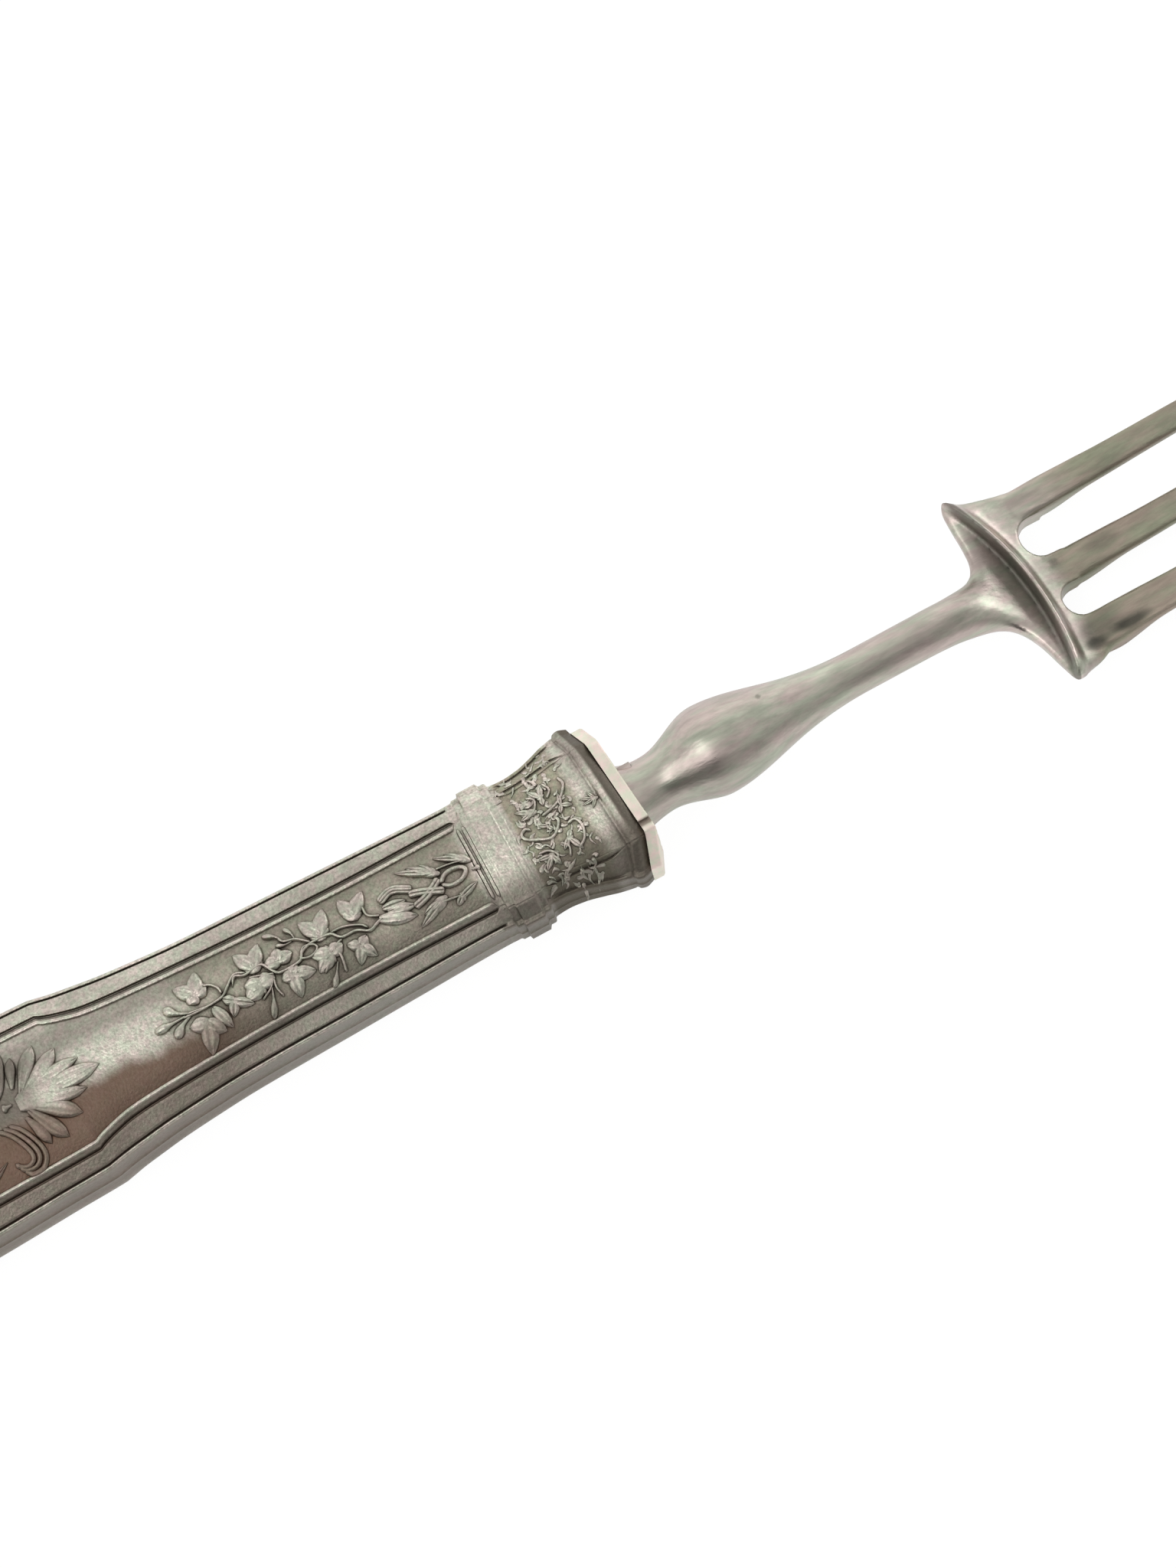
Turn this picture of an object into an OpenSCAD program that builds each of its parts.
// Roasting fork with a filled handle, lying on its back.
// X runs along the fork towards the tips of the tines, Y across it, and Z up out of the ornate front.
// The origin is under the middle of the fork, on the table.
// The head is one forging: three tines, a flared shoulder, a baluster shank and a tang.
// The tang is set in cement between two stamped half shells, and a pierced plate closes their mouth.

/* [Handle] */
// Length of the handle, from its butt to its mouth
handle_len = 125; // [112:1:138]
// Greatest width of the handle, near its butt
handle_w = 23.6; // [21:0.1:25]
// Height of the handle's axis above the table, half of the handle's thickness
axis_h = 7; // [6.6:0.1:7.6]
// Thickness of the stamped sheet with its relief
sheet_t = 0.8; // [0.7:0.05:1]
// How far the border's grooves and beads stand in and out
frame_relief = 0.25; // [0.1:0.05:0.3]
// Thickness of the plate that closes the mouth
plate_t = 1.3; // [0.8:0.05:1.8]

/* [Shank] */
// Length of the shank from the plate to the start of the shoulder
shank_len = 36.7; // [33:0.1:44]
// Diameter of the shank's swelling
baluster_d = 10.6; // [9:0.1:11.4]
// Diameter of the shank's slender neck
neck_d = 5; // [4.6:0.1:5.8]
// Side of the tang where it passes the plate
tang_side = 5.2; // [4:0.1:5.6]
// Length of the tang behind the plate
tang_len = 86; // [60:1:92]

/* [Shoulder and tines] */
// Width of the shoulder from horn to horn
shoulder_w = 24.7; // [24:0.1:27]
// Slant of the shoulder's crest, filed by hand, in degrees
crest_slant = 7; // [0:0.5:8]
// Distance from one tine's middle to the next at the roots
tine_pitch = 8.4; // [8.2:0.1:8.6]
// Length of the tines from the roots of the gaps
tine_len = 86; // [75:1:95]
// Width of a tine at its root
tine_w = 4.3; // [4.2:0.1:4.6]
// Thickness of a tine at its root
tine_t = 4; // [3.6:0.1:4.4]
// How much the outer tines stand above the middle one
dish = 0.9; // [0:0.1:1.2]
// Upward slope of the tines at their tips, in degrees
tip_slope = 12; // [6:1:16]

/* [Hidden] */
$fn = 64;

// Where things lie along the fork, from the front face of the mouth plate
shoulder_x = shank_len;
crest_x = shank_len + 12.7;
gap_x = shank_len + 14.8;
belly_x = shank_len + 19;
bend_x = shank_len + 29;
// How deep the belly reaches below the middle line
belly_t = 2.05;
tip_x = gap_x + tine_len;
mouth_x = -plate_t;
butt_x = mouth_x - handle_len;
// The middle of the whole length is the origin
shift_x = -(tip_x + butt_x) / 2;

// The handle's profile from the mouth to the start of the butt's dome
// [behind the mouth, panel half width, side half width, panel height, border height, frame]
handle_rows = [
    [0, 5.7, 9.2, 4.95, 2.35, 0],
    [0.35, 5.9, 9.5, 5.4, 2.5, 0],
    [1, 6.0, 9.65, 5.6, 2.6, 0],
    [1.7, 5.95, 9.5, 5.4, 2.6, 0],
    [2.15, 5.85, 9.15, 5.0, 2.6, 0],
    [2.4, 6.0, 9.1, 5.1, 2.85, 0],
    [4.3, 6.05, 8.75, 5.0, 3.0, 0],
    [6.4, 5.8, 8.2, 4.85, 3.1, 0],
    [8.5, 5.6, 7.7, 4.75, 3.2, 0],
    [10.4, 5.5, 7.5, 4.7, 3.3, 0],
    [12, 5.6, 7.6, 4.75, 3.4, 0],
    [12.25, 5.8, 8.1, 4.9, 3.5, 0],
    [12.95, 5.8, 8.1, 4.9, 3.5, 0],
    [13.1, 6.03, 8.5, 5.05, 3.67, 0],
    [15.4, 6.03, 8.5, 5.05, 3.67, 0],
    [15.55, 5.8, 8.1, 4.9, 3.5, 0],
    [16.25, 5.8, 8.1, 4.9, 3.5, 0],
    [16.45, 5.2, 7.8, 4.7, 3.8, 0],
    [17.05, 5.2, 7.8, 4.7, 3.8, 0],
    [17.6, 5.0, 7.75, 5.05, 3.9, 1],
    [29, 4.92, 8.0, 5.15, 4.2, 1],
    [37, 5.0, 8.2, 5.4, 4.4, 1],
    [44, 5.17, 8.35, 5.6, 4.6, 1],
    [50, 5.4, 8.55, 5.85, 4.65, 1],
    [55, 5.65, 8.9, 6.0, 4.7, 1],
    [59, 5.9, 9.25, 6.1, 4.8, 1],
    [62, 6.2, 9.65, 6.15, 4.85, 1],
    [64.4, 6.75, 10.0, 6.2, 4.9, 1],
    [66.4, 7.4, 10.4, 6.2, 5.0, 1],
    [66.9, 7.65, 10.5, 6.2, 5.0, 1],
    [73, 7.8, 10.75, 6.2, 5.0, 1],
    [81, 7.95, 11.15, 6.2, 5.0, 1],
    [91, 8.25, 11.5, 6.2, 5.0, 1],
    [101, 8.5, 11.8, 6.2, 5.0, 1],
    [108, 8.4, 11.7, 6.2, 5.0, 1],
    [113, 8.0, 11.3, 6.15, 4.95, 1]
];
// The panel is crowned: its middle stands this many times as high as its edges
crown = 1.13;
rows_len = 125;
rows_w = 23.6;
rows_h = 6.2;
len_k = handle_len / rows_len;
wide_k = handle_w / rows_w;
high_k = axis_h / (rows_h * crown);
// The butt's dome: the last round stretch of the handle
dome_rows = [0.25, 0.45, 0.62, 0.76, 0.87, 0.95, 0.99];
dome_end = 0.99;
last_row = handle_rows[len(handle_rows) - 1];

function mix(a, b, t) = a + (b - a) * t;
function clamp(t) = min(1, max(0, t));
function ease(t) = clamp(t) * clamp(t) * (3 - 2 * clamp(t));
// Cubic through two heights with a slope at each, over a stretch of length l
function cubic(t, a, b, slope_a, slope_b, l) =
    a * (1 + 2 * t) * pow(1 - t, 2) + b * t * t * (3 - 2 * t)
    + l * (slope_a * t * pow(1 - t, 2) - slope_b * t * t * (1 - t));

// Skins a row of rings, all with the same number of points, and closes both ends.
// cap holds the triangles that fill one ring, or nothing for a plain outline
module skin(rings, cap = []) {
    n = len(rings[0]);
    last = len(rings) - 1;
    fill = len(cap) > 0 ? cap : [[for (j = [0 : n - 1]) j]];
    sides = [for (i = [0 : last - 1], j = [0 : n - 1])
        each [[i * n + j, i * n + (j + 1) % n, (i + 1) * n + (j + 1) % n],
              [i * n + j, (i + 1) * n + (j + 1) % n, (i + 1) * n + j]]];
    near_end = [for (f = fill) [for (j = [len(f) - 1 : -1 : 0]) f[j]]];
    far_end = [for (f = fill) [for (j = f) last * n + j]];
    polyhedron([for (r = rings) each r], concat(sides, near_end, far_end));
}

// Triangles that fill a band between an outer line of a points and an inner one of b points,
// where a ring runs out along the one and back along the other
function band_cap(a, b) = let (step = function(i) round(i * (b - 1) / (a - 1)))
    [for (i = [0 : a - 2]) each concat(
        [[i, i + 1, a + b - 1 - step(i)]],
        step(i + 1) > step(i) ? [[i + 1, a + b - 1 - step(i + 1), a + b - 1 - step(i)]] : [])];

// Handle

// A row of the profile at its real size, as
// [x, panel half width, side half width, panel height, border height, frame]
function row_at(r) =
    [mouth_x - r[0] * len_k, r[1] * wide_k, r[2] * wide_k, r[3] * high_k, r[4] * high_k, r[5]];
// How the dome draws in: its width, and its height, which holds on for longer
width_curve = 2.3;
height_curve = 2.8;
function dome_w(u) = pow(1 - pow(u, width_curve), 1 / width_curve);
function dome_h(u) = pow(1 - pow(u, height_curve), 1 / 2);
function dome_row(u) =
    let (d = mix(last_row[0], rows_len, u / dome_end), w = dome_w(u), h = dome_h(u))
    row_at([d, last_row[1] * w, last_row[2] * w, last_row[3] * h, last_row[4] * h, last_row[5] * w]);
all_rows = concat([for (r = handle_rows) row_at(r)], [for (u = dome_rows) dome_row(u)]);

// The sides draw in a little from the seam, as stampings do, and the seam's edge stands just proud
seam_edge = 0.08;
// How far the side's upper corner stands in from the seam
corner_in = 0.65;
// Width of the bead along the panel's edge, and of the step from the bead down to the border
bead_w = 0.55;
step_w = 0.6;
// How far the border's inner edge lies below the panel's, plain and inside a frame
plain_drop = 0.15;
frame_drop = 0.5;
// Where the outer groove starts, as a share of the border's width
groove_at = 0.8;
// Where the crown is read, as shares of the panel's half width, and how much of it is left there
crown_at = [0.4, 0.72];
crown_left = 0.55;

// One quarter of the handle's section, from beside the middle of the panel out to the seam
function outer_quarter(r) =
    let (p = r[1], s = r[2], ze = r[3], zg = r[4], k = r[5], g = s - corner_in * min(1, s / 6),
         b = p + min(0.2 + step_w * k, (g - p) * 0.4), zb = ze - plain_drop - frame_drop * k,
         d = frame_relief * k, e = mix(b, g, groove_at), zm = mix(zb, zg, groove_at))
    [[crown_at[0] * p, ze * crown], [crown_at[1] * p, ze * mix(1, crown, crown_left)],
     [p - bead_w * k - 0.05, ze], [p - bead_w / 2 * k, ze + d], [p, ze - 0.05],
     [mix(p, b, 0.55), zb - d], [b, zb], [e, zm], [g, zg - d - 0.02],
     [mix(g, s, 0.5), zg - 0.25], [s - 0.15, zg * 0.55], [s + seam_edge, 0]];

// The same quarter inside the sheet
function inner_quarter(r) =
    let (p = r[1], s = r[2], ze = r[3], zg = r[4], t = sheet_t)
    [[0.45 * p, ze * crown - t], [0.85 * p, ze - t - 0.2], [s - 0.5 - t, zg - t - 0.15], [s - t, 0]];

// From one seam over the top to the other, or under the bottom with side = -1
function arch(q, side) = let (m = len(q) - 1) concat(
    [for (i = [m : -1 : 0]) [-q[i][0], side * q[i][1]]],
    [for (i = [0 : m]) [q[i][0], side * q[i][1]]]);
// Where the butt is solid, the inside of the sheet lies flat on the seam
function flat_quarter(r) = [for (i = [0 : 3]) [r[2] * (0.2 + 0.15 * i), 0]];

// The cavity ends a little short of the butt, with a flat wall
cavity_end = len(all_rows) - 3;
wall_slant = 0.05;

function shell_ring(i, side) =
    let (r = all_rows[min(i, len(all_rows) - 1)], hollow = i <= cavity_end,
         inner = arch(hollow ? inner_quarter(r) : flat_quarter(r), side),
         ring = concat(arch(outer_quarter(r), side), [for (j = [len(inner) - 1 : -1 : 0]) inner[j]]),
         turned = side > 0 ? ring : [for (j = [len(ring) - 1 : -1 : 0]) ring[j]])
    [for (p = turned) [r[0], p[0], p[1]]];
// The wall at the cavity's end: the same outside, with the inside flat on the seam
function wall_ring(side) =
    let (r = all_rows[cavity_end], x = r[0] - wall_slant, inner = arch(flat_quarter(r), side),
         ring = concat(arch(outer_quarter(r), side), [for (j = [len(inner) - 1 : -1 : 0]) inner[j]]),
         turned = side > 0 ? ring : [for (j = [len(ring) - 1 : -1 : 0]) ring[j]])
    [for (p = turned) [x, p[0], p[1]]];

module shell(side) {
    solid_rings = [for (i = [len(all_rows) - 1 : -1 : cavity_end + 1]) shell_ring(i, side)];
    hollow_rings = [for (i = [cavity_end : -1 : 0]) shell_ring(i, side)];
    cap = band_cap(2 * len(outer_quarter(all_rows[0])), 2 * len(inner_quarter(all_rows[0])));
    n = len(hollow_rings[0]);
    // The ring of the back shell runs the other way round
    back_cap = [for (f = cap) [n - 1 - f[2], n - 1 - f[1], n - 1 - f[0]]];
    translate([shift_x, 0, axis_h])
        skin(concat(solid_rings, [wall_ring(side)], hollow_rings), side > 0 ? cap : back_cap);
}

module front_shell() {
    color([0.66, 0.64, 0.57]) shell(1);
}

module back_shell() {
    color([0.6, 0.58, 0.51]) shell(-1);
}

function cement_ring(r) = let (q = inner_quarter(r), upper = arch(q, 1), lower = arch(q, -1))
    [for (p = concat(upper, [for (i = [len(lower) - 2 : -1 : 1]) lower[i]])) [r[0], p[0], p[1]]];

module handle_cement() {
    color([0.36, 0.3, 0.24]) difference() {
        translate([shift_x, 0, axis_h])
            skin([for (i = [cavity_end : -1 : 0]) cement_ring(all_rows[i])]);
        tang();
    }
}

// The plate has the mouth's eight sides and a square hole for the tang
plate_w = 18.7 * wide_k;
plate_h = 12.2 * high_k;
plate_cut = 3.4;
hole_play = 0.1;

module mouth_plate() {
    color([0.82, 0.77, 0.73]) translate([shift_x - plate_t, 0, axis_h]) rotate([90, 0, 90])
        linear_extrude(plate_t) difference() {
            polygon([for (a = [[1, 1], [-1, 1], [-1, -1], [1, -1]])
                each let (near = [a[0] * plate_w / 2, a[1] * (plate_h / 2 - plate_cut)],
                          far = [a[0] * (plate_w / 2 - plate_cut), a[1] * plate_h / 2])
                    a[0] * a[1] > 0 ? [near, far] : [far, near]]);
            square(tang_side + hole_play, center = true);
        }
}

// Fork head

// The tang tapers in both directions and is notched so that the cement can't let go
tang_tip = 2.6;
notch_d = 0.5;
notch_w = 2;
notch_step = 14;
// The notches start this far behind the plate and leave this much of the tip plain
notch_from = 10;
plain_tip = 20;

module tang_side_view() {
    rotate([90, 0, 0]) translate([0, 0, -tang_side]) linear_extrude(2 * tang_side)
        polygon([[-tang_len, -tang_tip / 2], [1, -tang_side / 2], [1, tang_side / 2],
                 [-tang_len, tang_tip / 2]]);
}

module tang() {
    translate([shift_x, 0, axis_h]) difference() {
        intersection() {
            tang_side_view();
            rotate([90, 0, 0]) tang_side_view();
        }
        for (i = [1 : floor((tang_len - plain_tip) / notch_step)], side = [-1, 1])
            let (back = notch_from + i * notch_step, wide_here = mix(tang_side, tang_tip, back / tang_len))
                translate([-back, side * tang_side / 2, 0])
                    cube([notch_w, tang_side - wide_here + 2 * notch_d, 2 * tang_side], center = true);
    }
}

// The shank is turned: [along the shank, radius, slope]
shank_rows = [[0, 4, -0.4], [3.3, 3.45, 0], [10.2, baluster_d / 2, 0], [19.2, 3.6, -0.24],
    [28.7, neck_d / 2, 0], [shank_len + 3, neck_d / 2, 0]];
shank_steps = 5;
shank_sides = 48;

function shank_outline() = [for (i = [0 : len(shank_rows) - 2], j = [0 : shank_steps])
    if (j > 0 || i == 0)
        let (a = shank_rows[i], b = shank_rows[i + 1], t = j / shank_steps)
            [cubic(t, a[1], b[1], a[2], b[2], b[0] - a[0]), mix(a[0], b[0], t)]];

module shank() {
    translate([shift_x, 0, axis_h]) rotate([0, 90, 0]) rotate_extrude($fn = shank_sides)
        polygon(concat([[0, 0]], shank_outline(), [[0, shank_len + 3]]));
}

// The head's middle line dips from the shank to the belly, then sweeps up to the tips
belly_z = belly_t - axis_h;
bend_slope = tan(tip_slope * 0.65);
bend_z = belly_z + 0.45 * (bend_x - belly_x) * bend_slope;
tip_z = bend_z + (tip_x - bend_x) * (bend_slope + tan(tip_slope)) / 2;

function head_z(x) = x < belly_x
    ? cubic(clamp((x - shoulder_x) / (belly_x - shoulder_x)), 0, belly_z, 0, 0, belly_x - shoulder_x)
    : x < bend_x
    ? cubic((x - belly_x) / (bend_x - belly_x), belly_z, bend_z, 0, bend_slope, bend_x - belly_x)
    : cubic((x - bend_x) / (tip_x - bend_x), bend_z, tip_z, bend_slope, tan(tip_slope), tip_x - bend_x);
// The head is dished across, and its crest is slanted
function dish_z(x, y) = dish * pow(y / tine_pitch, 2) * ease((x - shoulder_x - 6) / 6);
function slant_x(x, y) =
    -tan(crest_slant) * y * ease((x - shoulder_x - 3) / 6) * (1 - 0.9 * ease((x - crest_x) / 6));
function on_head(x, y, z) = [x + slant_x(x, y), y, head_z(x) + dish_z(x, y) + z];

// The shoulder's rows: [from the start of the shoulder, half width, bow of the crest, top, bottom]
half_w = shoulder_w / 2;
shoulder_rows = [
    [-0.5, 2.5, 0, 2.5, 2.5],
    [2.6, 2.6, 0, 2.6, 2.6],
    [5, 2.95, 0, 2.65, 2.7],
    [6.6, 3.6, 0.1, 2.5, 2.8],
    [7.8, 4.7, 0.3, 2.15, 2.8],
    [8.9, 6.4, 0.7, 1.75, 2.75],
    [10, 8.8, 1.3, 1.5, 2.7],
    [11.1, 11.1, 1.8, 1.75, 2.6],
    [11.9, half_w - 0.2, 2.15, 2.5, 2.55],
    [12.5, half_w, 2.3, 3.5, 2.5],
    [13.3, half_w - 0.1, 2.4, 3.7, 2.4],
    [14.1, half_w - 0.5, 2.3, 2.8, 2.35],
    [15.4, half_w - 1.3, 1.6, 2.2, 2.3],
    [17, half_w - 1.75, 0.8, 1.9, 2.2],
    [18.6, half_w - 2, 0, 1.7, 1.9]
];
shoulder_points = 28;

// One ring of the shoulder: round at the shank, and a flat lens at the crest
function shoulder_ring(r) =
    let (flat = ease((r[1] - neck_d / 2) / 6), e = mix(1, 0.62, flat), mid_x = shoulder_x + r[0])
    [for (j = [0 : shoulder_points - 1])
        let (a = -360 * j / shoulder_points, c = cos(a), s = sin(a),
             y = r[1] * sign(c) * pow(abs(c), mix(1, 0.85, flat)),
             z = (s > 0 ? r[3] : r[4]) * sign(s) * pow(abs(s), e),
             x = mid_x - r[2] * pow(y / half_w, 2))
        on_head(x, y, z)];

// The tines' rows: [share of the way from the root to the tip, width share, thickness share]
tine_rows = [[-0.03, 1, 0.97], [0.03, 1, 1], [0.07, 0.93, 1], [0.11, 0.86, 0.96], [0.16, 0.8, 0.92],
    [0.22, 0.76, 0.88], [0.35, 0.71, 0.81], [0.5, 0.66, 0.74], [0.65, 0.6, 0.66], [0.8, 0.53, 0.55],
    [0.9, 0.42, 0.42], [0.96, 0.27, 0.27], [1, 0.08, 0.08]];
// Rounded square that a tine's section follows, two points at each corner
corner = 0.3;
quarters = [[1, 1], [-1, 1], [-1, -1], [1, -1]];
tine_corner = [for (q = [0 : 3], a = [15, 75])
    quarters[q] * (0.5 - corner) + corner * [cos(q * 90 + a), sin(q * 90 + a)]];
tine_toe_in = 0.7;
toe_start = 0.25;

function tine_ring(r, side) =
    let (x = mix(gap_x, tip_x, r[0]),
         y = side * (tine_pitch - tine_toe_in * clamp((r[0] - toe_start) / (1 - toe_start))))
    [for (p = tine_corner)
        [x, y + p[0] * tine_w * r[1], head_z(x) + dish_z(x, y) + p[1] * tine_t * r[2]]];

// Each stretch of a tine is the hull of its two ends
module tine(side) {
    ends = [[for (j = [7 : -1 : 0]) j], [for (j = [8 : 15]) j]];
    for (i = [0 : len(tine_rows) - 2])
        hull() polyhedron(concat(tine_ring(tine_rows[i], side), tine_ring(tine_rows[i + 1], side)), ends);
}

// The gaps have round roots
gap_r = (tine_pitch - tine_w) / 2;
// The cutter runs out past the shoulder, and through its whole thickness
gap_cut = 8;
gap_depth = 24;

module gap(side) {
    y = side * tine_pitch / 2;
    translate([gap_x + gap_r + slant_x(gap_x, y), y, -gap_depth / 2]) {
        cylinder(r = gap_r, h = gap_depth);
        translate([0, -gap_r, 0]) cube([gap_cut, 2 * gap_r, gap_depth]);
    }
}

module fork_head() {
    color([0.7, 0.67, 0.64]) {
        tang();
        shank();
        translate([shift_x, 0, axis_h]) {
            difference() {
                skin([for (r = shoulder_rows) shoulder_ring(r)]);
                for (side = [-1, 1]) gap(side);
            }
            for (side = [-1, 0, 1]) tine(side);
        }
    }
}

fork_head();
front_shell();
back_shell();
mouth_plate();
handle_cement();
